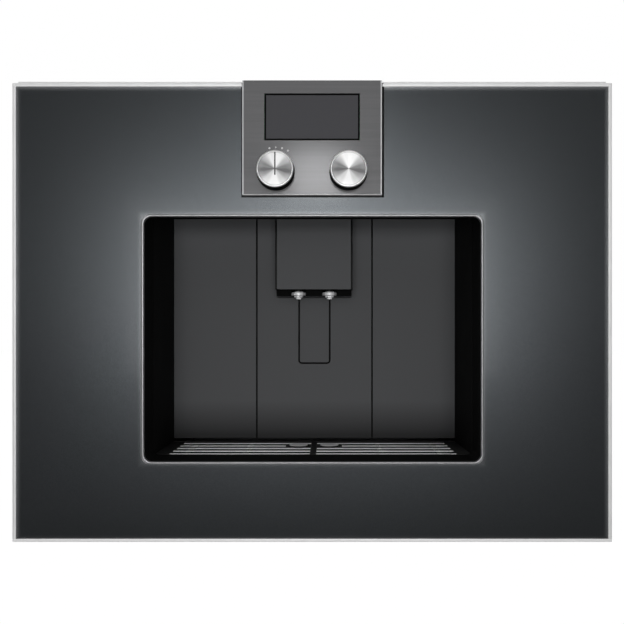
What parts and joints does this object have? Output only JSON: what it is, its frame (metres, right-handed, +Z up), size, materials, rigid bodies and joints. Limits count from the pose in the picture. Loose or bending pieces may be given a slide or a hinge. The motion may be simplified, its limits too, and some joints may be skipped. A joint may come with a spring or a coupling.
{
  "type": "built in coffee machine",
  "caption": "Built-in coffee machine with a hinged glass front, a serving recess with height-adjustable outlet, drip grille, display module and rotary knobs.",
  "frame": {"origin": "middle of the housing's underside, which rests on the niche floor", "axes": "+X to the right seen from the front, +Y into the cabinet, +Z up; the door faces -Y"},
  "size_m": [0.59, 0.555, 0.4548],
  "materials": {
    "housing_steel": "zinc-coated sheet steel",
    "cast_aluminium": "bare cast and extruded aluminium",
    "dark_plastic": "near-black fine-grained plastic",
    "recess_grey": "satin anthracite coating",
    "front_glass": "anthracite-backed safety glass",
    "edge_metal": "satin metal edge",
    "module_steel": "dark satin stainless",
    "display_glass": "dark display glass",
    "knob_aluminium": "spun solid aluminium",
    "bright_steel": "bright stainless",
    "clear_plastic": "smoked clear plastic",
    "circuit_board": "green laminate",
    "black_gloss": "black moulded plastic"
  },
  "bodies": {
    "housing": {"base_pan": "housing_steel", "side_panel_left": "housing_steel", "side_panel_right": "housing_steel", "top_cover": "housing_steel", "back_panel": "housing_steel", "fascia_top": "dark_plastic", "tank_bay_shelf": "dark_plastic", "brewer_bay_shelf": "dark_plastic", "bean_shelf": "dark_plastic", "rear_deck": "housing_steel", "recess_side_left": "dark_plastic", "recess_side_right": "dark_plastic", "recess_ceiling": "dark_plastic", "recess_wall_left": "recess_grey", "recess_wall_centre": "recess_grey", "recess_wall_right": "recess_grey", "drip_tray": "dark_plastic", "grounds_container": "dark_plastic", "outlet_guide": "cast_aluminium", "hinge_bracket_lower": "housing_steel", "hinge_bracket_upper": "housing_steel", "door_catch": "black_gloss", "water_tank": "clear_plastic", "tank_lid": "dark_plastic", "bean_container": "clear_plastic", "bean_lid": "dark_plastic", "brewer_chassis": "dark_plastic", "brewer_cover": "dark_plastic", "grinder_body": "dark_plastic", "grinder_motor": "housing_steel", "pump": "cast_aluminium", "heater_block": "cast_aluminium", "power_board": "circuit_board", "mains_inlet": "black_gloss", "fan_frame": "black_gloss"},
    "door": {"door_glass": "front_glass", "door_edge": "edge_metal", "window_rim": "edge_metal", "window_liner": "dark_plastic", "door_inner_panel": "dark_plastic", "hinge_block_lower": "housing_steel", "hinge_block_upper": "housing_steel", "control_module": "module_steel", "display_glass": "display_glass", "control_board": "circuit_board"},
    "selector": {"selector_knob": "knob_aluminium"},
    "adjuster": {"adjust_knob": "knob_aluminium"},
    "outlet": {"outlet_cover": "recess_grey", "outlet_body": "dark_plastic", "nozzle_left": "bright_steel", "nozzle_right": "bright_steel", "outlet_carriage": "dark_plastic"},
    "grille": {"grille_frame": "dark_plastic", "grille_slats": "bright_steel"},
    "piston": {"brewer_piston": "dark_plastic"},
    "spindle": {"brewer_spindle": "housing_steel"},
    "burr": {"grinder_burr": "housing_steel"},
    "fan": {"fan_rotor": "black_gloss"},
    "switch": {"main_switch_rocker": "black_gloss"}
  },
  "joints": [
    {"name": "door_hinge", "type": "hinge", "parent": "housing", "child": "door", "pos_m": [-0.285, -0.2705, 0.225], "axis": [0, 0, -1], "range_deg": [0, 110]},
    {"name": "selector_turn", "type": "hinge", "parent": "door", "child": "selector", "pos_m": [-0.0355, -0.3, 0.3652], "axis": [0, 1, 0], "range_deg": [-15, 30]},
    {"name": "adjuster_turn", "type": "hinge", "parent": "door", "child": "adjuster", "pos_m": [0.0355, -0.3, 0.3652], "axis": [0, 1, 0], "continuous": true},
    {"name": "outlet_height", "type": "slide", "parent": "housing", "child": "outlet", "axis": [0, 0, 1], "range_m": [-0.08, 0]},
    {"name": "grille_lift", "type": "slide", "parent": "housing", "child": "grille", "axis": [0, 0, 1], "range_m": [0, 0.03]},
    {"name": "piston_stroke", "type": "slide", "parent": "housing", "child": "piston", "axis": [0, 0, -1], "range_m": [0, 0.028]},
    {"name": "spindle_turn", "type": "hinge", "parent": "housing", "child": "spindle", "pos_m": [0.2229, -0.169, 0.12], "axis": [0, 0, 1], "range_deg": [0, 420]},
    {"name": "burr_turn", "type": "hinge", "parent": "housing", "child": "burr", "pos_m": [0.2229, -0.02, 0.32], "axis": [0, 0, 1], "continuous": true},
    {"name": "fan_turn", "type": "hinge", "parent": "housing", "child": "fan", "pos_m": [0, 0.23, 0.3451], "axis": [0, 1, 0], "continuous": true},
    {"name": "switch_rock", "type": "hinge", "parent": "housing", "child": "switch", "pos_m": [0.1256, -0.239, 0.3991], "axis": [1, 0, 0], "range_deg": [0, 12]}
  ],
  "couplings": [
    {"joint": "spindle_turn", "follows": "piston_stroke", "rad_per_m": 261.8}
  ]
}
